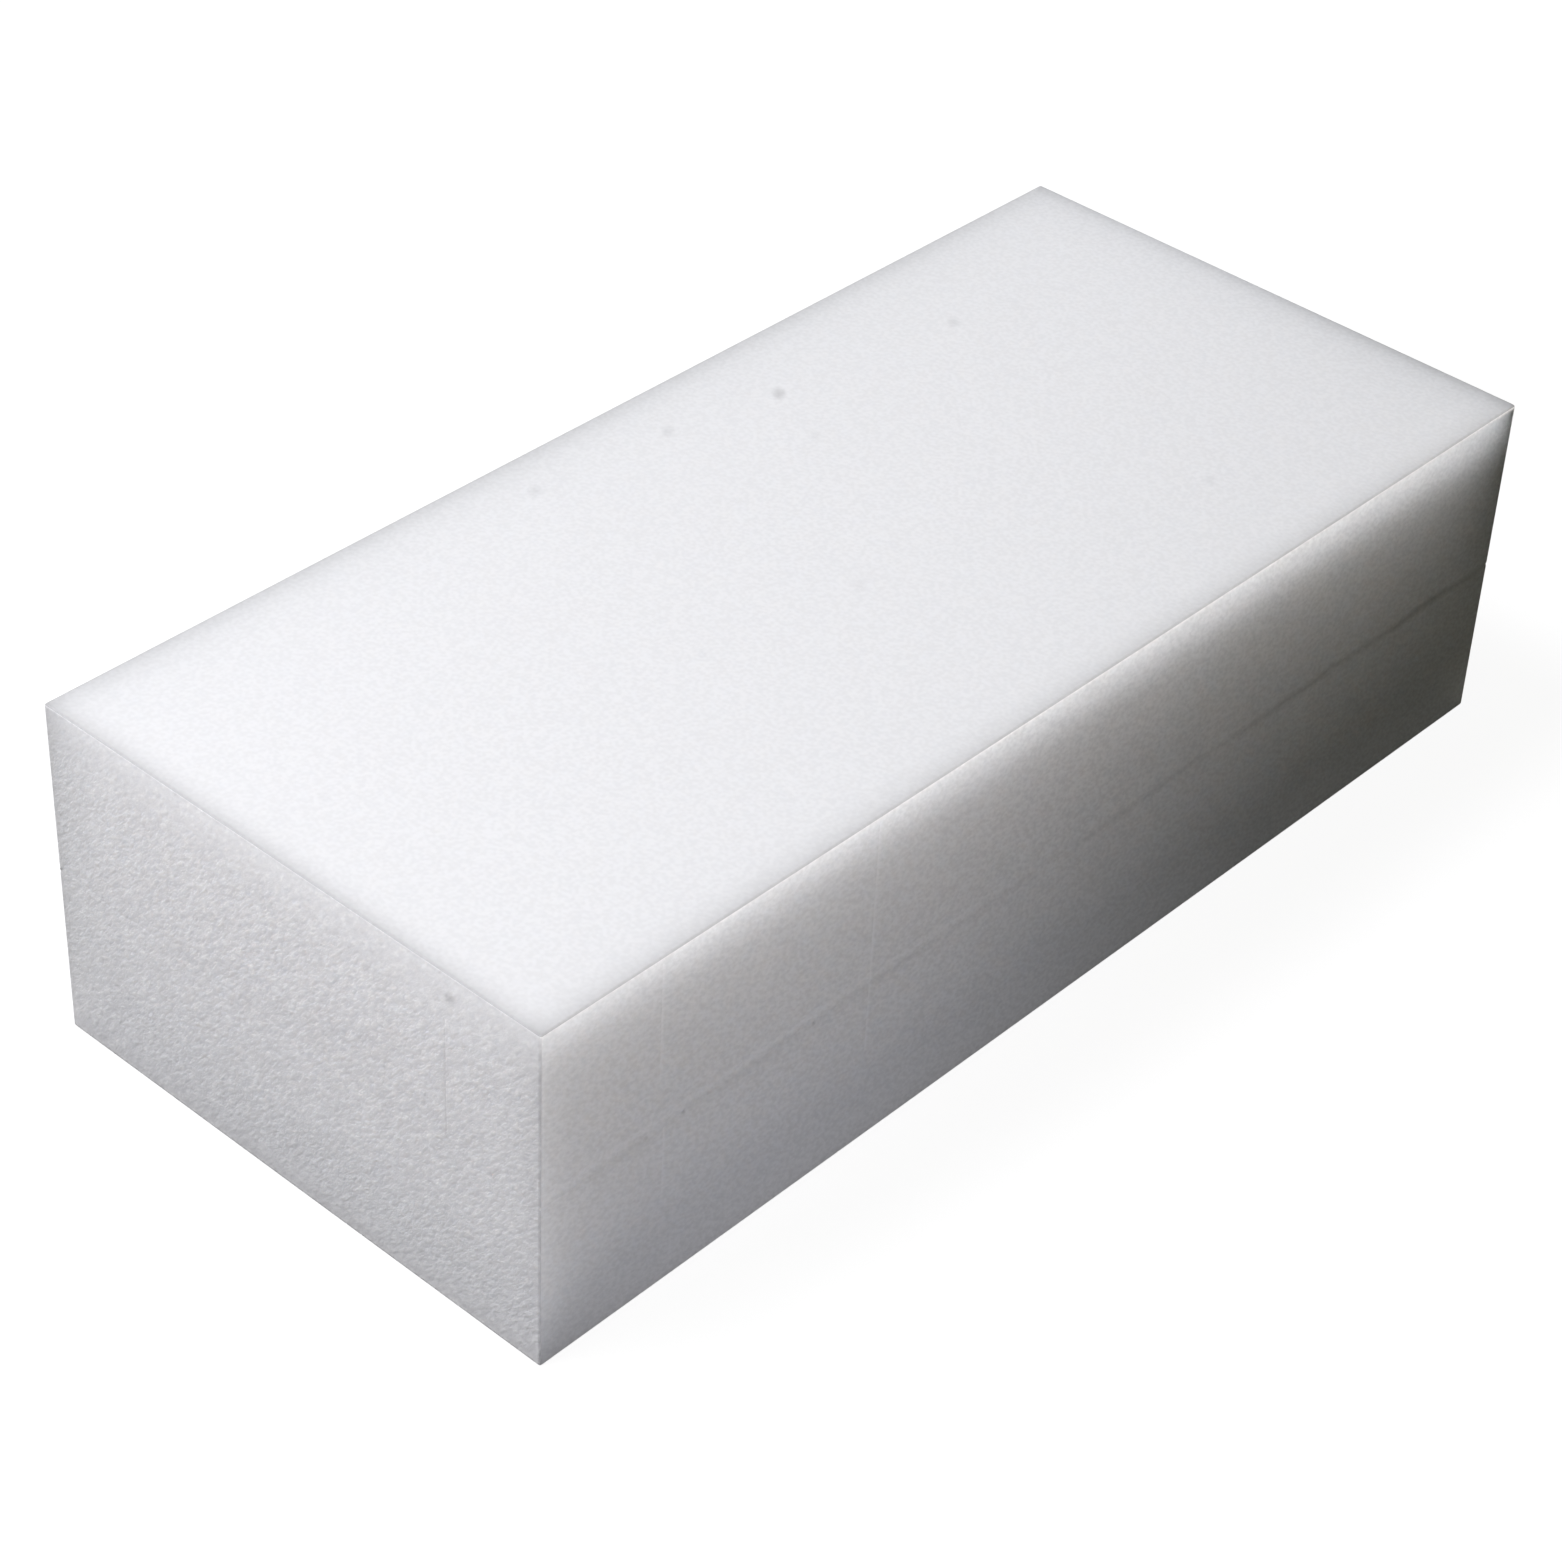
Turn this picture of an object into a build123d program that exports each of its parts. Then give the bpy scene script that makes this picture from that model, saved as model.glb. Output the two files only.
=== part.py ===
from build123d import *
import os

# A brick of white polyethylene foam. Two sheets are welded one on the other by heat,
# and the welded plank is then cut to size on its four sides with a blade.
# Millimetres: X is the width, Y the length and Z is up.
# The origin is the middle of the underside.

# Driving dimensions of the brick
LENGTH = 220.0
WIDTH = 100.0
LOWER_SHEET = 30.0
UPPER_SHEET = 30.0

# The blade leaves crisp edges, softened only by handling
EDGE_RADIUS = 0.4

# The heat melts back the rim of each sheet by this much, down its side and in from it,
# so a fine V-shaped line shows round the brick where the sheets meet
WELD_RIM = 0.35

# Shallow V-shaped scores that the blade left where it paused
SCORE_DEPTH = 0.15

# How far a cutter reaches past the face that it cuts
CUT_OVERRUN = 1.0

# Scores on the long side: place along the length from the near end,
# then top and bottom of the score, both as shares of the height from the top
LONG_SIDE_SCORE_SHARES = (
    (0.103, 0.02, 0.39),
    (0.107, 0.51, 0.72),
    (0.298, 0.02, 0.72),
)

# Scores on the near end: place along the width from the left, then as above
NEAR_END_SCORE_SHARES = (
    (0.641, 0.16, 0.49),
    (0.818, 0.135, 0.49),
)

HEIGHT = LOWER_SHEET + UPPER_SHEET


def plank():
    """The welded sheets, cut to size, with every outer edge softened."""
    outline = Rectangle(WIDTH, LENGTH)
    block = extrude(outline, amount=HEIGHT)
    return fillet(block.edges(), EDGE_RADIUS)


def weld_line():
    """A V-shaped ring at the height of the weld, with its point in the brick and its mouth past the sides."""
    root = Rectangle(WIDTH - 2 * WELD_RIM, LENGTH - 2 * WELD_RIM)
    mouth = Rectangle(WIDTH + 2 * CUT_OVERRUN, LENGTH + 2 * CUT_OVERRUN)
    reach = WELD_RIM + CUT_OVERRUN
    below = loft([Pos(0, 0, -reach) * mouth, root])
    above = loft([root, Pos(0, 0, reach) * mouth])
    ring = extrude(mouth, amount=reach, both=True) - below - above
    return Pos(0, 0, LOWER_SHEET) * ring


def score(top_share, bottom_share):
    """A square bar that stands on the Z axis with a corner to each side, as high as the score."""
    side = SCORE_DEPTH * 2**0.5
    length = (bottom_share - top_share) * HEIGHT
    middle = HEIGHT - (top_share + bottom_share) / 2 * HEIGHT
    return Pos(0, 0, middle) * Rot(0, 0, 45) * Box(side, side, length)


def blade_scores():
    """The scores on the long side, at +X, and on the near end, at -Y."""
    bars = []
    for along_share, top_share, bottom_share in LONG_SIDE_SCORE_SHARES:
        along = LENGTH * along_share - LENGTH / 2
        bars.append(Pos(WIDTH / 2, along, 0) * score(top_share, bottom_share))
    for across_share, top_share, bottom_share in NEAR_END_SCORE_SHARES:
        across = WIDTH * across_share - WIDTH / 2
        bars.append(Pos(across, -LENGTH / 2, 0) * score(top_share, bottom_share))
    return bars


foam_block = plank() - weld_line() - blade_scores()
foam_block.label = "foam_block"

os.makedirs("parts", exist_ok=True)
export_step(foam_block, "parts/foam_block.step")
print("foam_block", len(foam_block.solids()), "solid,", round(foam_block.volume), "cubic millimetres")
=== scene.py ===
# %% [markdown]
# # A block of white polyethylene foam
# The object is a brick of white closed-cell foam, the kind that is laid under a job on a bench or cut up
# to pack a tool. Two sheets were welded one on the other by heat, and a blade cut the plank to size. This
# lesson shapes the brick, gives it the three finishes that such foam has, and lights it like the
# photograph. We work in metres in the frame of the CAD model, so each place below is a real place on the
# brick.

# %% Load the CAD model as a fixed frame
import math

import bpy
from mathutils import Euler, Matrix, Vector


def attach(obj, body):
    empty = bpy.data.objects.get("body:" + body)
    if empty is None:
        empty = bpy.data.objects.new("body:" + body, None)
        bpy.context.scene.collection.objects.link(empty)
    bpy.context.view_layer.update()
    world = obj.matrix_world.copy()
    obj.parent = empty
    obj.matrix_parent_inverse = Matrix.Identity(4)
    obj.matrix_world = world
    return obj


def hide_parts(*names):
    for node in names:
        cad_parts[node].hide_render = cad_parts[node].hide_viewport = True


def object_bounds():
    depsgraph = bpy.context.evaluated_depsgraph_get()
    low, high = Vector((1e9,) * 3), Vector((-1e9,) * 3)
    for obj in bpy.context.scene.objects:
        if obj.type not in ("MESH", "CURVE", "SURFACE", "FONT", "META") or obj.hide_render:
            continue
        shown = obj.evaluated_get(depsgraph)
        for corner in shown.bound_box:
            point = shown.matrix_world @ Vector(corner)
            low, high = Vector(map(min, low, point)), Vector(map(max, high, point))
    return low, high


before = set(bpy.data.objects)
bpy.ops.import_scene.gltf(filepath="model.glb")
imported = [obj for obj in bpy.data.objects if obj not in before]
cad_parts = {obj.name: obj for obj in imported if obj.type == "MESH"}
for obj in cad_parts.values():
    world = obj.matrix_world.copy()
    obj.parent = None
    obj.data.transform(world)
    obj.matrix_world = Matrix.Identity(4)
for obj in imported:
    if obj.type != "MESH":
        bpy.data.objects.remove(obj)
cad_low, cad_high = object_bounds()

MM = 0.001
WIDTH, LENGTH, HEIGHT = cad_high - cad_low
middle = (cad_low + cad_high) / 2
print("CAD box in mm:", [round(side / MM, 2) for side in (WIDTH, LENGTH, HEIGHT)])

# %% [markdown]
# ## The blank
# A foam plank leaves the blade as a plain brick with crisp edges, softened only by handling. We could
# start from the CAD mesh, but its triangles are long and thin, and can't carry any relief. So we start
# from a cube at the brick's size and round all its edges with a bevel of a few tenths of a millimetre.

# %% Add the blank and soften its edges
EDGE_RADIUS = 0.4 * MM
EDGE_STEPS = 3

bpy.ops.object.select_all(action="DESELECT")
bpy.ops.mesh.primitive_cube_add(size=1.0, location=middle, scale=(WIDTH, LENGTH, HEIGHT))
block = bpy.context.object
block.name = "white_foam_block"
block.data.name = "white_foam_block"
bpy.ops.object.transform_apply(location=True, rotation=True, scale=True)
bpy.ops.object.mode_set(mode="EDIT")
bpy.ops.mesh.select_all(action="SELECT")
bpy.ops.mesh.bevel(offset=EDGE_RADIUS, offset_type="OFFSET", segments=EDGE_STEPS, affect="EDGES")
bpy.ops.object.mode_set(mode="OBJECT")
print("Blank:", len(block.data.polygons), "faces")

# %% [markdown]
# ## Selecting by place
# By hand we would click on the faces and points that we need. In a script we pick them by where they are.
# Selection is written in Object mode and is read by the operators of Edit mode.

# %% Two helpers that select points and faces by a rule
# A face looks along an axis where its normal has more than this share along it
SQUARE_ON = 0.9


def select_points(rule):
    """Selects the points of the block whose place meets the rule, and returns how many."""
    bpy.ops.object.mode_set(mode="EDIT")
    bpy.ops.mesh.select_mode(type="VERT")
    bpy.ops.mesh.select_all(action="DESELECT")
    bpy.ops.object.mode_set(mode="OBJECT")
    picked = [rule(point.co) for point in block.data.vertices]
    block.data.vertices.foreach_set("select", picked)
    bpy.ops.object.mode_set(mode="EDIT")
    return sum(picked)


def select_faces(rule):
    """Selects the faces of the block whose middle and normal meet the rule, and returns how many."""
    bpy.ops.object.mode_set(mode="EDIT")
    bpy.ops.mesh.select_mode(type="FACE")
    bpy.ops.mesh.select_all(action="DESELECT")
    bpy.ops.object.mode_set(mode="OBJECT")
    picked = [rule(face.center, face.normal) for face in block.data.polygons]
    block.data.polygons.foreach_set("select", picked)
    bpy.ops.object.mode_set(mode="EDIT")
    return sum(picked)


print("Faces that look up:", select_faces(lambda centre, normal: normal.z > SQUARE_ON))
bpy.ops.object.mode_set(mode="OBJECT")

# %% [markdown]
# ## The weld between the two sheets
# Heat melts the two sheets together, and draws back the rim of each a little, so a fine line runs round
# the brick at about half its height. It is not quite level, because the sheets differ a little in
# thickness. A second mesh for each sheet would leave a real gap, and the weld has none, so we keep one
# closed mesh: bisect cuts three edge loops round it, close together, and the middle one is pulled in to a
# shallow V. On the torn ends the line all but closes up, so it is pulled in less there.

# %% Cut the weld line
WELD_HEIGHT = 29.45 * MM
WELD_SLOPE = -0.0015
WELD_HALF_WIDTH = 0.3 * MM
SIDE_WELD_DEPTH = 0.12 * MM
END_WELD_DEPTH = 0.04 * MM

weld_place = Vector((0, 0, WELD_HEIGHT))
weld_normal = Vector((0, -WELD_SLOPE, 1)).normalized()


def above_weld(place):
    """The height of a place above the sloping middle of the weld."""
    return (place - weld_place).dot(weld_normal)


bpy.ops.object.mode_set(mode="EDIT")
for step in (-1, 0, 1):
    bpy.ops.mesh.select_all(action="SELECT")
    bpy.ops.mesh.bisect(plane_co=weld_place + step * WELD_HALF_WIDTH * weld_normal, plane_no=weld_normal)
weld_points = select_points(lambda place: abs(above_weld(place)) < WELD_HALF_WIDTH / 2)
pull_in = (1 - 2 * SIDE_WELD_DEPTH / WIDTH, 1 - 2 * END_WELD_DEPTH / LENGTH, 1)
bpy.ops.transform.resize(value=pull_in, center_override=weld_place)
bpy.ops.object.mode_set(mode="OBJECT")
print("Weld line:", weld_points, "points pulled in")

# %% [markdown]
# ## A grid fine enough for the relief
# The torn cells on the two ends are about a millimetre across, and their bumps should be in the mesh, so
# that they are there in any light. Bisect lays lines across the block, far apart along its length and
# close together across it, and one subdivide halves each cell. No line comes near the weld, which needs
# room to wander.

# %% Lay the grid
FINE_CELL = 1.0 * MM
LONG_CELL = 8.8 * MM
WELD_CLEAR = 1.4 * MM


def lay_lines(axis, spacing, skip=lambda place: False):
    """Bisects the whole block with evenly spaced planes across one axis."""
    normal = Vector((0, 0, 0))
    normal[axis] = 1
    count = round((cad_high - cad_low)[axis] / spacing)
    for line in range(1, count):
        place = middle.copy()
        place[axis] = cad_low[axis] + (cad_high - cad_low)[axis] * line / count
        if not skip(place):
            bpy.ops.mesh.select_all(action="SELECT")
            bpy.ops.mesh.bisect(plane_co=place, plane_no=normal)


bpy.ops.object.mode_set(mode="EDIT")
lay_lines(1, LONG_CELL)
lay_lines(2, FINE_CELL, skip=lambda place: abs(above_weld(place)) < WELD_CLEAR)
lay_lines(0, FINE_CELL)
bpy.ops.mesh.select_all(action="SELECT")
bpy.ops.mesh.subdivide(number_cuts=1)
bpy.ops.object.mode_set(mode="OBJECT")
print("Grid:", len(block.data.polygons), "faces")

# %% [markdown]
# ## Marks that the materials read
# The weld is a shade darker than the foam beside it, with a lip of painted light above and a faint
# painted shade below. The blade scores are a shade lighter on the long side, from whiter pressed foam and
# a painted highlight, and a shade darker on the end, with painted shade. A pattern could find the weld by
# its height, but not once it wanders up and down. So we keep these marks as numbers on the points of the
# mesh, where they move with it.

# %% Keep the weld and its painted lip light and shade as point attributes
# Where the marks, the painted lip light and the painted shade below, are strongest above the weld, and
# how far out they have faded
MARK_FADE = 1.05 * MM
LIP_LIGHT_HEIGHT = 1.6 * MM
LIP_LIGHT_FADE = 0.9 * MM
SHADE_HEIGHT = -1.0 * MM
SHADE_FADE = 1.6 * MM
SHADE_SHARE = 0.3

for name in ("weld_mark", "weld_painted_lip_and_shade", "score_mark"):
    block.data.attributes.new(name, "FLOAT", "POINT")
heights = [above_weld(point.co) for point in block.data.vertices]
weld_mark = [max(0.0, 1 - abs(height) / MARK_FADE) for height in heights]
weld_painted_lip_and_shade = [max(0.0, 1 - abs(height - LIP_LIGHT_HEIGHT) / LIP_LIGHT_FADE)
            - SHADE_SHARE * max(0.0, 1 - abs(height - SHADE_HEIGHT) / SHADE_FADE) for height in heights]
block.data.attributes["weld_mark"].data.foreach_set("value", weld_mark)
block.data.attributes["weld_painted_lip_and_shade"].data.foreach_set("value", weld_painted_lip_and_shade)
print("Points on the weld:", sum(mark > 0 for mark in weld_mark))

# %% [markdown]
# ## A weld that wanders
# Molten film doesn't set in a straight line. By hand we would nudge the edge loops up and down here and
# there. A Displace modifier does it from a cloud texture, only along Z and only near the weld. The three
# rows of the weld go the whole way and the row on each side goes half of it, so no face is folded over
# another.

# %% Let the weld line wander a little up and down
WANDER_LENGTH = 8 * MM
WANDER_HEIGHT = 2.0 * MM
# The share of it that the rows beside the weld and then the weld's own rows take, and how far they reach
WANDER_SHARES = ((0.5, WELD_CLEAR), (1.0, 1.3 * WELD_HALF_WIDTH))


def displace_group(group_name, texture, depth, level, direction="NORMAL", guide=None):
    """Moves the points of a vertex group by a procedural texture, and applies the modifier."""
    displace = block.modifiers.new(group_name, "DISPLACE")
    displace.vertex_group = group_name
    displace.texture = texture
    displace.texture_coords = "OBJECT" if guide else "LOCAL"
    displace.texture_coords_object = guide
    displace.strength = depth
    displace.mid_level = level
    displace.direction = direction
    bpy.ops.object.modifier_apply(modifier=displace.name)


block.vertex_groups.new(name="weld_rows")
for share, reach in WANDER_SHARES:
    weld_rows = select_points(lambda place: abs(above_weld(place)) < reach)
    bpy.context.scene.tool_settings.vertex_group_weight = share
    bpy.ops.object.vertex_group_assign()
    bpy.ops.object.mode_set(mode="OBJECT")
wander = bpy.data.textures.new("weld_wander", "CLOUDS")
wander.noise_scale = WANDER_LENGTH
wander.noise_depth = 1
displace_group("weld_rows", wander, WANDER_HEIGHT, 0.5, direction="Z")
print("Weld wanders:", weld_rows, "points")

# %% [markdown]
# ## Blade scores
# The blade paused a few times and left hairline scores down one long side and one end. A texture could
# draw them, but a score is a shape: three local cuts, with the middle one pushed in to a shallow V.

# %% Cut the scores
SCORE_DEPTH = 0.15 * MM
SCORE_HALF_WIDTH = 0.4 * MM
# A point is on a line when it is nearer than this
ON_LINE = 0.01 * MM
# A point still belongs to a face down to the depth of the weld or of a score
SIDE_FACE_DEPTH = 1.1 * SIDE_WELD_DEPTH
END_FACE_DEPTH = 1.1 * SCORE_DEPTH
# Place along the face, then top and bottom of the score, as shares of the height from the top
LONG_SIDE_SCORES = ((0.103, 0.02, 0.39), (0.107, 0.51, 0.72), (0.298, 0.02, 0.72))
NEAR_END_SCORES = ((0.641, 0.16, 0.49), (0.818, 0.135, 0.49))


def cut_score(out, along_axis, along_share, top_share, bottom_share):
    """Cuts one upright V-shaped score into the flat face that looks along out, and marks its bottom."""
    across = Vector((0, 0, 0))
    across[along_axis] = 1
    place = cad_low.copy()
    place[along_axis] += along_share * (cad_high - cad_low)[along_axis]
    top = cad_high.z - top_share * HEIGHT
    bottom = cad_high.z - bottom_share * HEIGHT
    face_level = max(cad_low.dot(out), cad_high.dot(out))
    for step in (-1, 0, 1):
        select_faces(lambda centre, normal: normal.dot(out) > SQUARE_ON and bottom < centre.z < top
                     and abs(centre[along_axis] - place[along_axis]) < LONG_CELL)
        bpy.ops.mesh.bisect(plane_co=place + step * SCORE_HALF_WIDTH * across, plane_no=across)
    count = select_points(lambda point: abs(point[along_axis] - place[along_axis]) < ON_LINE
                          and bottom < point.z < top
                          and point.dot(out) > face_level - SIDE_FACE_DEPTH)
    bpy.ops.transform.translate(value=-SCORE_DEPTH * out)
    bpy.ops.object.mode_set(mode="OBJECT")
    for point in block.data.vertices:
        if point.select:
            block.data.attributes["score_mark"].data[point.index].value = 1.0
    return count


for shares in LONG_SIDE_SCORES:
    print("Score on the long side:", cut_score(Vector((1, 0, 0)), 1, *shares), "points")
for shares in NEAR_END_SCORES:
    print("Score on the near end:", cut_score(Vector((0, -1, 0)), 0, *shares), "points")

# %% [markdown]
# ## Torn cells on the ends
# The ends were cut across the sheet, which tears the cells open and leaves a pebbly surface with a slant
# to it. Bump alone would vanish from the exported mesh, so a Displace modifier pushes the points of the
# two ends in, by a little over a tenth of a millimetre at most. An empty turns and stretches the cloud
# texture along the slant, and is then deleted.

# %% Displace the ends
PEBBLE_SIZE = 0.9 * MM
PEBBLE_STRETCH = 2.0
PEBBLE_DEPTH = 0.14 * MM
TEAR_SLANT = math.radians(-48)
EDGE_CLEAR = 1.2 * EDGE_RADIUS

end_points = select_points(lambda place: abs(place.y) > LENGTH / 2 - END_FACE_DEPTH
                           and abs(place.x) < WIDTH / 2 - EDGE_CLEAR
                           and EDGE_CLEAR < place.z < HEIGHT - EDGE_CLEAR)
block.vertex_groups.new(name="torn_ends")
bpy.ops.object.vertex_group_assign()
bpy.ops.object.mode_set(mode="OBJECT")
bpy.ops.object.empty_add(rotation=(0, TEAR_SLANT, 0), scale=(PEBBLE_STRETCH, 1, 1))
slant = bpy.context.object
bpy.context.view_layer.objects.active = block
pebbles = bpy.data.textures.new("torn_cells", "CLOUDS")
pebbles.noise_scale = PEBBLE_SIZE
pebbles.noise_depth = 1
displace_group("torn_ends", pebbles, PEBBLE_DEPTH, 1.0, guide=slant)
bpy.data.objects.remove(slant)
print("Torn ends:", end_points, "points")

# %% [markdown]
# ## Shading
# Smooth shading alone would bend the light near the narrow rounded edges, as if the faces were pillows.
# Weighted normals let the large faces decide, so they shade flat right up to the edge.

# %% Smooth the shading and weigh the normals by area
SMOOTH_ANGLE = math.radians(60)

bpy.ops.object.select_all(action="DESELECT")
block.select_set(True)
bpy.context.view_layer.objects.active = block
bpy.ops.object.shade_smooth_by_angle(angle=SMOOTH_ANGLE)
weights = block.modifiers.new("weighted_normals", "WEIGHTED_NORMAL")
bpy.ops.object.modifier_apply(modifier=weights.name)
block.data.calc_loop_triangles()
print("Triangles:", len(block.data.loop_triangles))

# %% [markdown]
# ## Tools for the materials
# Colours are written as sRGB hex values, as a paint program shows them, and Blender works in linear
# light, so one function turns them. Another adds a node with its settings and links, and that is all we
# need to build a shader.

# %% Colours and nodes
def linear(hex_colour):
    """A linear RGBA colour from an sRGB hex value."""
    colour = []
    for start in (1, 3, 5):
        share = int(hex_colour[start:start + 2], 16) / 255
        colour.append(share / 12.92 if share <= 0.04045 else ((share + 0.055) / 1.055) ** 2.4)
    return colour + [1.0]


def add_node(tree, kind, inputs=None, **settings):
    """Adds a node with its settings and returns its outputs. An input that gets a socket is linked."""
    node = tree.nodes.new(kind)
    for name, value in settings.items():
        setattr(node, name, value)
    for name, value in (inputs or {}).items():
        if isinstance(value, bpy.types.NodeSocket):
            tree.links.new(value, node.inputs[name])
        else:
            node.inputs[name].default_value = value
    return node.outputs


# Nearly all values of a noise lie between these
NOISE_LOW = 0.3
NOISE_HIGH = 0.7


def new_material(name):
    """An empty node material."""
    material = bpy.data.materials.new(name)
    material.use_nodes = True
    material.node_tree.nodes.clear()
    return material


print("White in linear light:", linear("#FFFFFF"))

# %% [markdown]
# ## How foam takes the light
# Foam is thin plastic film round gas, so light goes in, scatters from film to film and comes out some
# millimetres away. That is why a lit face is darker along its rim, and a shaded face glows under the edge
# that it shares with a lit one. A painted gradient would be wrong in any other light. Random-walk
# subsurface scattering is right in all of them. The free path is the mean distance between two films that
# turn the light.

# %% A function for the shader that the three finishes share
# Cycles divides the subsurface radius by 4 pi
RADIUS_PER_PATH = 4 * math.pi
# Red light goes a little further than blue
PATH_BY_COLOUR = (1.06, 1.0, 0.94)
# The film is polyethylene, matt from the cut, and little of its gloss gets out between the cells
FOAM_IOR = 1.5
FOAM_ROUGHNESS = 0.6
FOAM_GLOSS = 0.15


def finish_foam(tree, colour, height, relief, path, through, strength=1.0):
    """Adds the shader of a foam face: its bump, and the path and share of the light that goes in."""
    bump = add_node(tree, "ShaderNodeBump",
                    {"Height": height, "Distance": relief, "Strength": strength})[0]
    shader = add_node(tree, "ShaderNodeBsdfPrincipled",
                      {"Base Color": colour, "Roughness": FOAM_ROUGHNESS, "IOR": FOAM_IOR,
                       "Specular IOR Level": FOAM_GLOSS,
                       "Subsurface Weight": through, "Subsurface Radius": PATH_BY_COLOUR,
                       "Subsurface Scale": path * RADIUS_PER_PATH, "Normal": bump},
                      subsurface_method="RANDOM_WALK")[0]
    add_node(tree, "ShaderNodeOutputMaterial", {"Surface": shader})


print("Subsurface scale for a path of 1 mm:", round(1 * MM * RADIUS_PER_PATH, 5))

# %% [markdown]
# ## Light near the edges
# Along its top rim the blade smears a cut face shut, and less light goes in there, so the rim shows as a
# fine bright line. Near the underside, the skin below would send light back in, but the renderer loses
# it, so there too we let less of it in.

# %% A function for the share of light that goes into a cut face
FOOT_HEIGHT = 14 * MM
RIM_DEPTH = 0.9 * MM


def light_share(tree, place, inner, foot, rim):
    """The share of light that goes in: inner over most of the height, less at the foot and the rim."""
    level = add_node(tree, "ShaderNodeSeparateXYZ", {0: place})["Z"]
    from_foot = add_node(tree, "ShaderNodeMapRange",
                         {"Value": level, "From Min": cad_low.z, "From Max": cad_low.z + FOOT_HEIGHT,
                          "To Min": foot, "To Max": inner}, interpolation_type="SMOOTHSTEP")[0]
    to_rim = add_node(tree, "ShaderNodeMapRange",
                      {"Value": level, "From Min": cad_high.z - RIM_DEPTH,
                       "From Max": cad_high.z - RIM_DEPTH / 3, "To Min": 1.0, "To Max": rim / inner},
                      interpolation_type="SMOOTHSTEP")[0]
    return add_node(tree, "ShaderNodeMath", {0: from_foot, 1: to_rim}, operation="MULTIPLY")[0]


print("Foot and rim in mm:", round(FOOT_HEIGHT / MM, 1), round(RIM_DEPTH / MM, 1))

# %% [markdown]
# ## Places on a face
# Some marks are drawn from the distance to the edges of the block, and some from a list of places. Both
# come from Object coordinates, which are the block's own metres, so no picture or unwrap is needed.

# %% Two helpers that draw marks by place
# The share of a speck's radius that is fully grey
SPECK_CORE = 0.1


def from_faces(tree, place):
    """The distances from a place on the block to its nearest faces across X, Y and Z."""
    centred = add_node(tree, "ShaderNodeVectorMath", {0: place, 1: middle}, operation="SUBTRACT")[0]
    away = add_node(tree, "ShaderNodeVectorMath", {0: centred}, operation="ABSOLUTE")[0]
    half = (cad_high - cad_low) / 2
    inside = add_node(tree, "ShaderNodeVectorMath", {0: half, 1: away}, operation="SUBTRACT")[0]
    return add_node(tree, "ShaderNodeSeparateXYZ", {0: inside})


def grey_specks(tree, place, specks, turn=(0, 0, 0), stretch=(1, 1, 1)):
    """A factor that is 1 on bare foam and falls at each speck, dirt or painted hole shade: place, radius
    in mm and strength.
    """
    shaped = add_node(tree, "ShaderNodeMapping", {"Vector": place, "Rotation": turn, "Scale": stretch},
                      vector_type="TEXTURE")[0]
    specks_and_hole_shade = 1.0
    for centre, radius_mm, strength in specks:
        turned = Euler(turn).to_matrix().inverted() @ Vector(centre)
        shaped_centre = [part / scale for part, scale in zip(turned, stretch)]
        radius = radius_mm * MM
        away = add_node(tree, "ShaderNodeVectorMath", {0: shaped, 1: shaped_centre},
                        operation="DISTANCE")["Value"]
        tone = add_node(tree, "ShaderNodeMapRange",
                        {"Value": away, "From Min": SPECK_CORE * radius, "From Max": radius,
                         "To Min": 1 - strength, "To Max": 1.0}, interpolation_type="SMOOTHSTEP")[0]
        specks_and_hole_shade = add_node(tree, "ShaderNodeMath", {0: specks_and_hole_shade, 1: tone}, operation="MULTIPLY")[0]
    return specks_and_hole_shade


print("Half sizes in mm:", [round(side / 2 / MM, 1) for side in (WIDTH, LENGTH, HEIGHT)])

# %% [markdown]
# ## Skin on the top and the underside
# Polyethylene foam is extruded as a sheet, and the die leaves a thin, nearly closed skin: even, white and
# matt, with a grain that is hardly to be seen. It lets less light in than a cut face, the same all over.
# Light that goes in near its rim leaves through the cut face beside it, so the skin looks greyer towards
# the edge, and steeply so at the very edge; that grey is painted shade in its colour. A few soft grey
# specks lie on it.

# %% Extruded polyethylene foam skin
# Gives the eye an almost even white, with a faint fine grain and a grey rim of painted shade
SKIN_GRAIN = 0.65 * MM
SKIN_RELIEF = 0.02 * MM
SKIN_PATH = 2.2 * MM
SKIN_SHARE = 0.4
SKIN_GREY, SKIN_WHITE = "#ECECED", "#F2F2F3"
# For each edge: its axis, its place, how far in the painted shade reaches and how much darker it is at
# the edge
SKIN_RIM_SHADES = (("X", cad_high.x, -8 * MM, 0.27), ("X", cad_low.x, 8 * MM, 0.17),
             ("Y", cad_low.y, 6 * MM, 0.27), ("Y", cad_high.y, -6 * MM, 0.14))
RIM_POWER = 3.0
# The very edge has a little more painted shade, darker still: from here in it fades, and is gone
RIM_START = 0.1 * MM
PAINTED_EDGE_SHADE = 0.6 * MM
PAINTED_EDGE_SHADE_TONE = 0.80
# Share along the length from the near end, share across from the left, radius in mm, strength
TOP_SPECKS = ((0.618, 0.154, 1.6, 0.22), (0.523, 0.110, 1.6, 0.10), (0.400, 0.088, 1.6, 0.10),
              (0.787, 0.202, 1.6, 0.10), (0.595, 0.280, 1.4, 0.05), (0.754, 0.792, 1.5, 0.05),
              (0.477, 0.604, 1.4, 0.04), (0.840, 0.239, 1.3, 0.04), (0.063, 0.433, 1.4, 0.04),
              (0.343, 0.565, 1.3, 0.03))
# Each speck is a short smear
SMEAR_TURN = (0, 0, math.radians(41))
SMEAR_STRETCH = (1.0, 1.6, 1.0)

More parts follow.
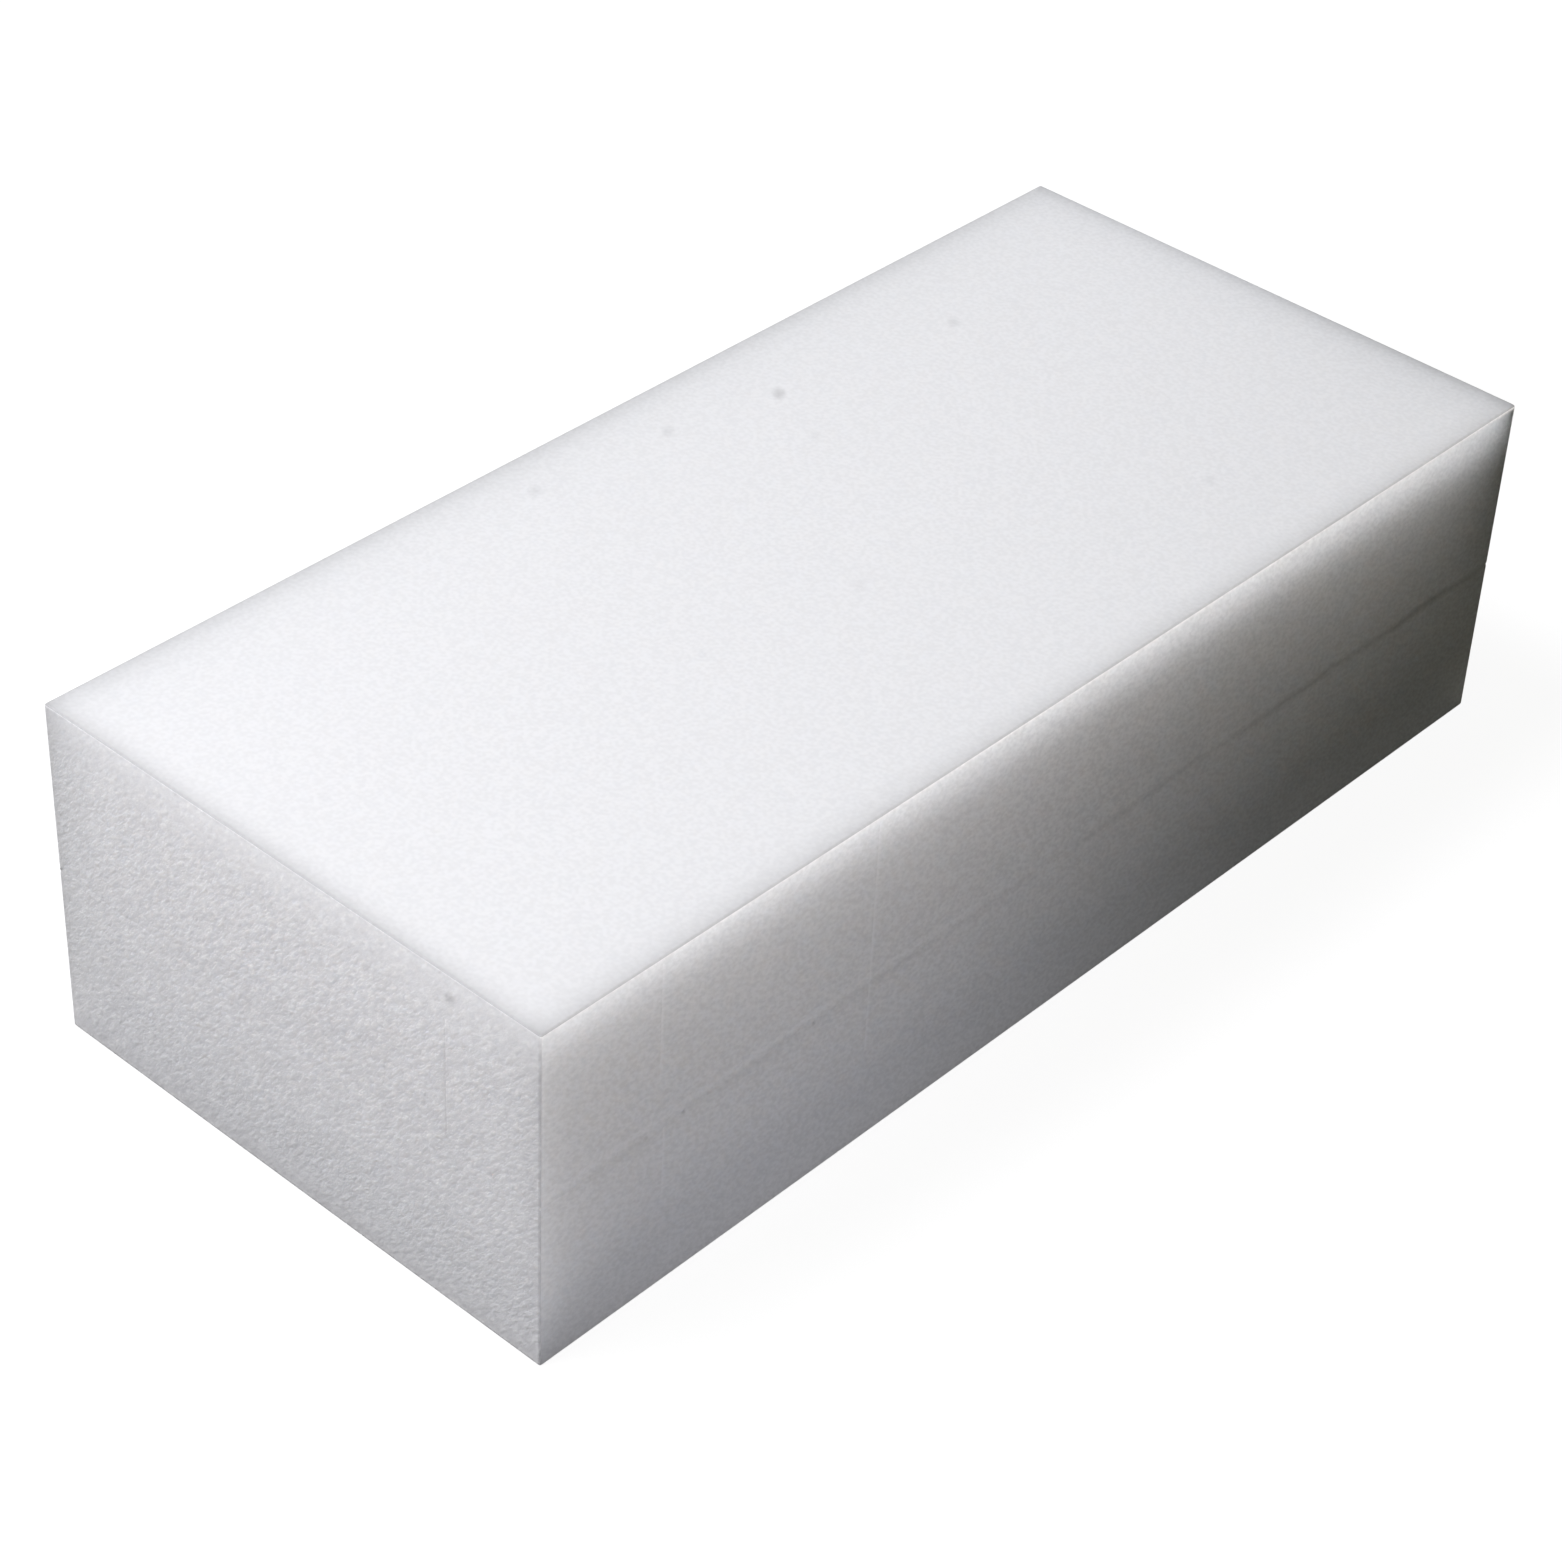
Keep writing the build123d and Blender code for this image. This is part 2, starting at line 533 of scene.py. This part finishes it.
skin = new_material("polyethylene_foam_skin")
tree = skin.node_tree
place = add_node(tree, "ShaderNodeTexCoord")["Object"]
grain = add_node(tree, "ShaderNodeTexNoise",
                 {"Vector": place, "Scale": 1 / SKIN_GRAIN, "Detail": 0.0})["Fac"]
shade = add_node(tree, "ShaderNodeMapRange",
                 {"Value": grain, "From Min": NOISE_LOW, "From Max": NOISE_HIGH})[0]
body = add_node(tree, "ShaderNodeMix", {0: shade, 6: linear(SKIN_GREY), 7: linear(SKIN_WHITE)},
                data_type="RGBA")[2]
top_specks = [((cad_low.x + WIDTH * across, cad_low.y + LENGTH * along, cad_high.z), radius, strength)
              for along, across, radius, strength in TOP_SPECKS]
marks = grey_specks(tree, place, top_specks, SMEAR_TURN, SMEAR_STRETCH)
spot = add_node(tree, "ShaderNodeSeparateXYZ", {0: place})
# Painted shade along each rim of the skin, deepest at the edge
for axis, edge, reach, darker in SKIN_RIM_SHADES:
    near = add_node(tree, "ShaderNodeMapRange",
                    {"Value": spot[axis], "From Min": edge, "From Max": edge + reach,
                     "To Min": 1.0, "To Max": 0.0})[0]
    steep = add_node(tree, "ShaderNodeMath", {0: near, 1: RIM_POWER}, operation="POWER")[0]
    rim = add_node(tree, "ShaderNodeMath", {0: steep, 1: -darker, 2: 1.0}, operation="MULTIPLY_ADD")[0]
    marks = add_node(tree, "ShaderNodeMath", {0: marks, 1: rim}, operation="MULTIPLY")[0]
inside = from_faces(tree, place)
nearest = add_node(tree, "ShaderNodeMath", {0: inside["X"], 1: inside["Y"]}, operation="MINIMUM")[0]
# Painted shade along the very edge of the skin
edge_shade = add_node(tree, "ShaderNodeMapRange",
                   {"Value": nearest, "From Min": RIM_START, "From Max": PAINTED_EDGE_SHADE,
                    "To Min": PAINTED_EDGE_SHADE_TONE, "To Max": 1.0}, interpolation_type="SMOOTHSTEP")[0]
marks = add_node(tree, "ShaderNodeMath", {0: marks, 1: edge_shade}, operation="MULTIPLY")[0]
colour = add_node(tree, "ShaderNodeMix", {0: 1.0, 6: body, 7: marks},
                  data_type="RGBA", blend_type="MULTIPLY")[2]
finish_foam(tree, colour, grain, SKIN_RELIEF, SKIN_PATH, SKIN_SHARE)
print("Skin:", len(tree.nodes), "nodes")

# %% [markdown]
# ## Blade-cut long sides
# A long blade slices the cells cleanly along the plank, which leaves a smooth face with a faint mottle of
# cut cells under a millimetre across. No skin holds the light back here, so this face glows the most. The
# cells of a plain noise would look round, and the blade drew them out, so a Mapping node stretches them.

# %% Blade-cut polyethylene foam
# Gives the eye a smooth, milky face that glows under its lit edge
CUT_CELL = 0.6 * MM
CUT_STRETCH = 1.5
CUT_SLANT = math.radians(-27)
CUT_RELIEF = 0.02 * MM
CUT_PATH = 4.2 * MM
CUT_GREY, CUT_WHITE = "#EAEAE9", "#FAFAF9"

side = new_material("polyethylene_foam_blade_cut")
tree = side.node_tree
place = add_node(tree, "ShaderNodeTexCoord")["Object"]
slanted = add_node(tree, "ShaderNodeMapping",
                   {"Vector": place, "Rotation": (CUT_SLANT, 0, 0),
                    "Scale": (CUT_CELL, CUT_STRETCH * CUT_CELL, CUT_CELL)}, vector_type="TEXTURE")[0]
cells = add_node(tree, "ShaderNodeTexNoise", {"Vector": slanted, "Scale": 1.0, "Detail": 1.0})["Fac"]
shade = add_node(tree, "ShaderNodeMapRange",
                 {"Value": cells, "From Min": NOISE_LOW, "From Max": NOISE_HIGH})[0]
body = add_node(tree, "ShaderNodeMix", {0: shade, 6: linear(CUT_GREY), 7: linear(CUT_WHITE)},
                data_type="RGBA")[2]
print("Long sides, cells:", len(tree.nodes), "nodes")

# %% [markdown]
# ## The weld and the scores on the long sides
# Near the scored end the weld shows as a soft lip of painted light over a hairline, with faint painted
# shade under it; in the middle it is all but gone, and towards the far end it is a dark line. A few
# pinholes lie on it, drawn as spots of painted shade. The scores are lighter, from whiter pressed foam
# and a painted highlight. All of these only scale the colour of the cells, so the grain runs on through
# them.

# %% Mark the long sides and finish them
# Share along the length from the near end, height in mm, radius in mm, strength of the painted shade
WELD_PINHOLE_SHADES = ((0.091, 29.4, 0.6, 0.16), (0.124, 29.7, 0.6, 0.20), (0.146, 30.0, 0.5, 0.14),
                 (0.244, 29.5, 0.6, 0.20))
# The weld fades in patches of this size, to this share, over this part of the noise
WELD_PATCH = 25 * MM
FADED_SHARE = 0.5
FADED_AT, CLEAR_AT = 0.35, 0.6
# Along the length: where the weld starts to darken and where it is darkest
DARK_FROM, DARK_FULL = 0 * MM, 90 * MM
# Along the length: where the painted lip light starts to fade and where it is gone
LIP_LIGHT_FULL, LIP_LIGHT_GONE = -60 * MM, 10 * MM
# How much lighter or darker a mark is
NEAR_WELD = -0.07
FAR_WELD = -0.26
NEAR_LIP_LIGHT = 0.08
SIDE_SCORE_PALE_AND_HIGHLIGHT = 0.11

drift = add_node(tree, "ShaderNodeTexNoise",
                 {"Vector": place, "Scale": 1 / WELD_PATCH, "Detail": 1.0})["Fac"]
fade = add_node(tree, "ShaderNodeMapRange",
                {"Value": drift, "From Min": FADED_AT, "From Max": CLEAR_AT,
                 "To Min": FADED_SHARE, "To Max": 1.0})[0]
weld = add_node(tree, "ShaderNodeAttribute", attribute_name="weld_mark")["Fac"]
weld_here = add_node(tree, "ShaderNodeMath", {0: weld, 1: fade}, operation="MULTIPLY")[0]
along = add_node(tree, "ShaderNodeSeparateXYZ", {0: place})["Y"]
depth = add_node(tree, "ShaderNodeMapRange",
                 {"Value": along, "From Min": DARK_FROM, "From Max": DARK_FULL,
                  "To Min": NEAR_WELD, "To Max": FAR_WELD})[0]
marks = add_node(tree, "ShaderNodeMath", {0: weld_here, 1: depth, 2: 1.0}, operation="MULTIPLY_ADD")[0]
# Painted light in a lip over the weld and painted shade under it, near the scored end
painted_band = add_node(tree, "ShaderNodeAttribute", attribute_name="weld_painted_lip_and_shade")["Fac"]
near = add_node(tree, "ShaderNodeMapRange",
                {"Value": along, "From Min": LIP_LIGHT_FULL, "From Max": LIP_LIGHT_GONE,
                 "To Min": NEAR_LIP_LIGHT, "To Max": 0.0})[0]
marks = add_node(tree, "ShaderNodeMath", {0: painted_band, 1: near, 2: marks}, operation="MULTIPLY_ADD")[0]
# The scores on the long side are lighter: a little whiter pressed foam and a painted highlight
score = add_node(tree, "ShaderNodeAttribute", attribute_name="score_mark")["Fac"]
marks = add_node(tree, "ShaderNodeMath", {0: score, 1: SIDE_SCORE_PALE_AND_HIGHLIGHT, 2: marks},
                 operation="MULTIPLY_ADD")[0]
# Pinholes are drawn as spots of painted shade; the mesh has no holes there
pinhole_shades = [((cad_high.x, cad_low.y + LENGTH * share, height * MM), radius, strength)
            for share, height, radius, strength in WELD_PINHOLE_SHADES]
specks_and_hole_shade = grey_specks(tree, place, pinhole_shades)
marks = add_node(tree, "ShaderNodeMath", {0: marks, 1: specks_and_hole_shade}, operation="MULTIPLY")[0]
colour = add_node(tree, "ShaderNodeMix", {0: 1.0, 6: body, 7: marks},
                  data_type="RGBA", blend_type="MULTIPLY")[2]
through = light_share(tree, place, inner=1.0, foot=0.4, rim=0.1)
finish_foam(tree, colour, cells, CUT_RELIEF, CUT_PATH, through)
print("Long sides:", len(tree.nodes), "nodes")

# %% [markdown]
# ## Torn-cut ends
# Across the plank the blade tears the cells, so the ends are rough: a relief like wool, with bright
# flecks, painted highlights where torn film would catch the light, and paler and greyer patches. The mesh
# holds the larger pebbles, and a bump adds the torn film between them. Just under the skin the cells are
# smaller, so the bump fades towards the top and the bottom.

# %% Torn-cut polyethylene foam
# Gives the eye a pebbly, sugary face with painted highlight flecks, and painted shade down its sides and
# foot
TORN_CELL = 0.74 * MM
TORN_PATCH = 6 * MM
TORN_RELIEF = 0.40 * MM
TORN_PATH = 3.5 * MM
TORN_GREY, TORN_WHITE, TORN_FLECK_HIGHLIGHT = "#E4E4E6", "#F2F2F3", "#FDFDFD"
FINE_DEPTH = 12 * MM
FINE_STRENGTH = 0.3
# The part of the noise that gives painted highlight flecks, and the tones of the patches
HIGHLIGHT_FROM, HIGHLIGHT_FULL = 0.60, 0.80
PATCH_GREY, PATCH_PALE = 0.97, 1.02

end = new_material("polyethylene_foam_torn_cut")
tree = end.node_tree
place = add_node(tree, "ShaderNodeTexCoord")["Object"]
slanted = add_node(tree, "ShaderNodeMapping",
                   {"Vector": place, "Rotation": (0, TEAR_SLANT, 0),
                    "Scale": (PEBBLE_STRETCH * TORN_CELL, TORN_CELL, TORN_CELL)},
                   vector_type="TEXTURE")[0]
cells = add_node(tree, "ShaderNodeTexNoise", {"Vector": slanted, "Scale": 1.0, "Detail": 2.5})["Fac"]
shade = add_node(tree, "ShaderNodeMapRange",
                 {"Value": cells, "From Min": NOISE_LOW, "From Max": NOISE_HIGH})[0]
body = add_node(tree, "ShaderNodeMix", {0: shade, 6: linear(TORN_GREY), 7: linear(TORN_WHITE)},
                data_type="RGBA")[2]
# Painted highlights: the brightest cells turn to bright flecks
fleck_highlight = add_node(tree, "ShaderNodeMapRange",
                 {"Value": cells, "From Min": HIGHLIGHT_FROM, "From Max": HIGHLIGHT_FULL})[0]
body = add_node(tree, "ShaderNodeMix", {0: fleck_highlight, 6: body, 7: linear(TORN_FLECK_HIGHLIGHT)}, data_type="RGBA")[2]
drift = add_node(tree, "ShaderNodeTexNoise",
                 {"Vector": place, "Scale": 1 / TORN_PATCH, "Detail": 1.0})["Fac"]
patch = add_node(tree, "ShaderNodeMapRange",
                 {"Value": drift, "From Min": NOISE_LOW, "From Max": NOISE_HIGH,
                  "To Min": PATCH_GREY, "To Max": PATCH_PALE})[0]
print("Ends, cells:", len(tree.nodes), "nodes")

# %% [markdown]
# ## The rims and the marks of the ends
# A thin grey line of painted shade runs down the sides and along the foot of an end, ragged along the
# cells. Under the top edge the end is paler, with painted light. As on the long sides, all of this only
# scales the colour of the cells.

# %% Mark the ends and finish them
# Painted shade down the sides and foot of an end, and painted light under its top edge
END_RIM_SHADE = 0.7 * MM
END_RIM_SHADE_TONE = 0.82
END_TOP_LIGHT = 2.5 * MM
END_TOP_LIGHT_TONE = 1.06
RIM_SHADE_WOBBLE = 0.6 * MM
END_SCORE_SHADE = -0.13
END_SPECK = ((cad_low.x + WIDTH * 0.829, cad_low.y, cad_high.z - HEIGHT * 0.069), 1.2, 0.26)
END_SMEAR_STRETCH = (1.7, 1.0, 1.0)

# The scores on the near end are darker: painted shade in their crease
score = add_node(tree, "ShaderNodeAttribute", attribute_name="score_mark")["Fac"]
marks = add_node(tree, "ShaderNodeMath", {0: score, 1: END_SCORE_SHADE, 2: patch}, operation="MULTIPLY_ADD")[0]
inside = from_faces(tree, place)
level = add_node(tree, "ShaderNodeSeparateXYZ", {0: place})["Z"]
from_foot = add_node(tree, "ShaderNodeMath", {0: level, 1: cad_low.z}, operation="SUBTRACT")[0]
nearest = add_node(tree, "ShaderNodeMath", {0: inside["X"], 1: from_foot}, operation="MINIMUM")[0]
# The painted shade follows the cells, so its line is ragged
wobble = add_node(tree, "ShaderNodeMath", {0: cells, 1: -0.5}, operation="ADD")[0]
wobbly_distance = add_node(tree, "ShaderNodeMath", {0: wobble, 1: RIM_SHADE_WOBBLE, 2: nearest},
                  operation="MULTIPLY_ADD")[0]
rim = add_node(tree, "ShaderNodeMapRange",
               {"Value": wobbly_distance, "From Min": RIM_START, "From Max": END_RIM_SHADE,
                "To Min": END_RIM_SHADE_TONE, "To Max": 1.0}, interpolation_type="SMOOTHSTEP")[0]
marks = add_node(tree, "ShaderNodeMath", {0: marks, 1: rim}, operation="MULTIPLY")[0]
# Painted light: the end is paler under its top edge
painted_band = add_node(tree, "ShaderNodeMapRange",
               {"Value": level, "From Min": cad_high.z - END_TOP_LIGHT, "From Max": cad_high.z,
                "To Min": 1.0, "To Max": END_TOP_LIGHT_TONE})[0]
marks = add_node(tree, "ShaderNodeMath", {0: marks, 1: painted_band}, operation="MULTIPLY")[0]
specks_and_hole_shade = grey_specks(tree, place, [END_SPECK], (0, TEAR_SLANT, 0), END_SMEAR_STRETCH)
marks = add_node(tree, "ShaderNodeMath", {0: marks, 1: specks_and_hole_shade}, operation="MULTIPLY")[0]
colour = add_node(tree, "ShaderNodeMix", {0: 1.0, 6: body, 7: marks},
                  data_type="RGBA", blend_type="MULTIPLY")[2]
strength = add_node(tree, "ShaderNodeMapRange",
                    {"Value": inside["Z"], "From Min": 0.0, "From Max": FINE_DEPTH,
                     "To Min": FINE_STRENGTH, "To Max": 1.0}, interpolation_type="SMOOTHSTEP")[0]
through = light_share(tree, place, inner=0.7, foot=0.3, rim=0.2)
finish_foam(tree, colour, cells, TORN_RELIEF, TORN_PATH, through, strength)
print("Ends:", len(tree.nodes), "nodes")

# %% [markdown]
# ## Three finishes on one block
# It is one piece of foam, so it stays one mesh with three material slots. Each face takes the finish of
# the side that it looks to, and the rounded edges are shared out between the two finishes that meet
# there.

# %% Give each face its finish
# A face of a rounded edge is skin, or else torn, where its normal has more than this share up or endways
SKIN_FROM = 0.5
TORN_FROM = 0.7

for material in (skin, side, end):
    block.data.materials.append(material)
finishes = []
for face in block.data.polygons:
    if abs(face.normal.z) > SKIN_FROM:
        finishes.append(0)
    elif abs(face.normal.y) > TORN_FROM:
        finishes.append(2)
    else:
        finishes.append(1)
block.data.polygons.foreach_set("material_index", finishes)
print("Faces of skin, blade cut and torn cut:", [finishes.count(slot) for slot in range(3)])

# %% [markdown]
# ## Floor and background
# The photograph has a white background. A brightly lit white floor would send light up into the shaded
# side of the block, which is dark in the photograph. So the floor and the world are white only where a
# ray shows them to the eye, and dark for the light that bounces. A little plain grey in the floor keeps
# the block's soft shadow.

# %% Floor
FLOOR_SIZE = 8.0
FLOOR_GAP = 0.05 * MM
FLOOR_GLOW = 0.93
FLOOR_SEEN = "#707070"
FLOOR_UNSEEN = "#202020"


def seen_by_eye(tree):
    """1 for a ray that shows something, straight or in gloss or glass, and 0 for light that bounces."""
    ray = add_node(tree, "ShaderNodeLightPath")
    seen = add_node(tree, "ShaderNodeMath", {0: ray["Is Camera Ray"], 1: ray["Is Glossy Ray"]},
                    operation="MAXIMUM")[0]
    return add_node(tree, "ShaderNodeMath", {0: seen, 1: ray["Is Transmission Ray"]},
                    operation="MAXIMUM")[0]


bpy.ops.object.select_all(action="DESELECT")
bpy.ops.mesh.primitive_plane_add(size=FLOOR_SIZE, location=(0, 0, cad_low.z - FLOOR_GAP))
floor = bpy.context.object
floor.name = "studio_floor"
paper = new_material("studio_floor_paper")
tree = paper.node_tree
seen = seen_by_eye(tree)
tone = add_node(tree, "ShaderNodeMix", {0: seen, 6: linear(FLOOR_UNSEEN), 7: linear(FLOOR_SEEN)},
                data_type="RGBA")[2]
matt = add_node(tree, "ShaderNodeBsdfDiffuse", {"Color": tone})[0]
strength = add_node(tree, "ShaderNodeMath", {0: seen, 1: FLOOR_GLOW}, operation="MULTIPLY")[0]
glow = add_node(tree, "ShaderNodeEmission", {"Strength": strength})[0]
both = add_node(tree, "ShaderNodeAddShader", {0: matt, 1: glow})[0]
add_node(tree, "ShaderNodeOutputMaterial", {"Surface": both})
floor.data.materials.append(paper)
print("Floor:", FLOOR_SIZE, "m")

# %% [markdown]
# ## World
# The world is the light that comes from all round. To the eye it is plain white, as the floor is. For the
# block it is only a dim light, a little warm, as the far part of the long side is in the photograph.

# %% World
# Linear light
AMBIENT = (0.096, 0.094, 0.078, 1.0)
WHITE = (1.0, 1.0, 1.0, 1.0)

world = bpy.data.worlds.new("studio")
bpy.context.scene.world = world
world.use_nodes = True
tree = world.node_tree
tree.nodes.clear()
tone = add_node(tree, "ShaderNodeMix", {0: seen_by_eye(tree), 6: AMBIENT, 7: WHITE}, data_type="RGBA")[2]
sky = add_node(tree, "ShaderNodeBackground", {"Color": tone, "Strength": 1.0})[0]
add_node(tree, "ShaderNodeOutputWorld", {"Surface": sky})
print("Ambient light:", AMBIENT[:3])

# %% [markdown]
# ## Lamps
# The photograph has a large soft light high on the left and another in front, and the long side lies in
# shade. A small lamp low on the right lifts the near part of that side. A weak one behind keeps the back
# from going black, and its narrow beam stays clear of the edge to the long side, which would glow. Real
# foam carries light straight on round an edge, more than the even scattering of the renderer does. A
# strip with a narrow beam stands in for that: it grazes the top edge of the long side, lower at the far
# end.

# %% Lamps
# Name, place, aim, width and height in metres, spread and roll in degrees, watts, colour
LAMPS = (
    ("key_softbox", (-0.40, -0.40, 1.10), (0, 0, 0.03), 0.45, 0.45, 180, 0, 11.6, "#F9FAFF"),
    ("front_softbox", (-0.30, -1.00, 0.50), (0, 0, 0.03), 0.45, 0.45, 180, 0, 6.1, "#FDFBFF"),
    ("back_lamp", (-0.22, 0.58, 0.07), (-0.030, 0.11, 0.035), 0.07, 0.07, 9, 0, 0.006, "#F2F5FF"),
    ("side_lamp", (0.45, -0.09, 0.03), (0.05, -0.08, -0.03), 0.09, 0.09, 40, 0, 0.0375, "#F5F4FF"),
    ("edge_strip", (0.35, 0.00, 0.0605), (0.05, 0.00, 0.0605), 0.26, 0.004, 3.4, -1, 0.0067, "#FFFBFA"),
)

for name, place, aim, width, height, spread, roll, watts, colour in LAMPS:
    data = bpy.data.lights.new(name, "AREA")
    data.shape = "RECTANGLE"
    data.size = width
    data.size_y = height
    data.spread = math.radians(spread)
    data.energy = watts
    data.color = linear(colour)[:3]
    lamp = bpy.data.objects.new(name, data)
    lamp.location = place
    turn = (Vector(aim) - Vector(place)).to_track_quat("-Z", "Y").to_euler()
    turn.rotate_axis("Z", math.radians(roll))
    lamp.rotation_euler = turn
    bpy.context.scene.collection.objects.link(lamp)
print("Lamps:", [lamp[0] for lamp in LAMPS])

# %% [markdown]
# ## Camera
# The seven corners that the photograph shows fix where the camera stood, which way it looked and its
# lens. The picture is square, so one sensor width serves both ways.

# %% Camera
CAMERA_PLACE = Vector((315.12, -370.51, 386.11)) * MM
CAMERA_LOOK = Vector((-0.5217, 0.5993, -0.6072))
CAMERA_ROLL = math.radians(2.87)
LENS_MM = 89.085
SENSOR_MM = 36.0

camera_data = bpy.data.cameras.new("camera")
camera_data.sensor_width = SENSOR_MM
camera_data.lens = LENS_MM
camera = bpy.data.objects.new("camera", camera_data)
camera.location = CAMERA_PLACE
turn = CAMERA_LOOK.to_track_quat("-Z", "Y").to_euler()
turn.rotate_axis("Z", CAMERA_ROLL)
camera.rotation_euler = turn
bpy.context.scene.collection.objects.link(camera)
bpy.context.scene.camera = camera
bpy.context.scene.view_settings.view_transform = "Standard"
print("Camera to the block's middle in mm:", round((CAMERA_PLACE - middle).length / MM))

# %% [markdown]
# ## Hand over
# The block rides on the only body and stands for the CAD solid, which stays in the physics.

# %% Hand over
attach(block, "root")
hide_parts("foam_block")
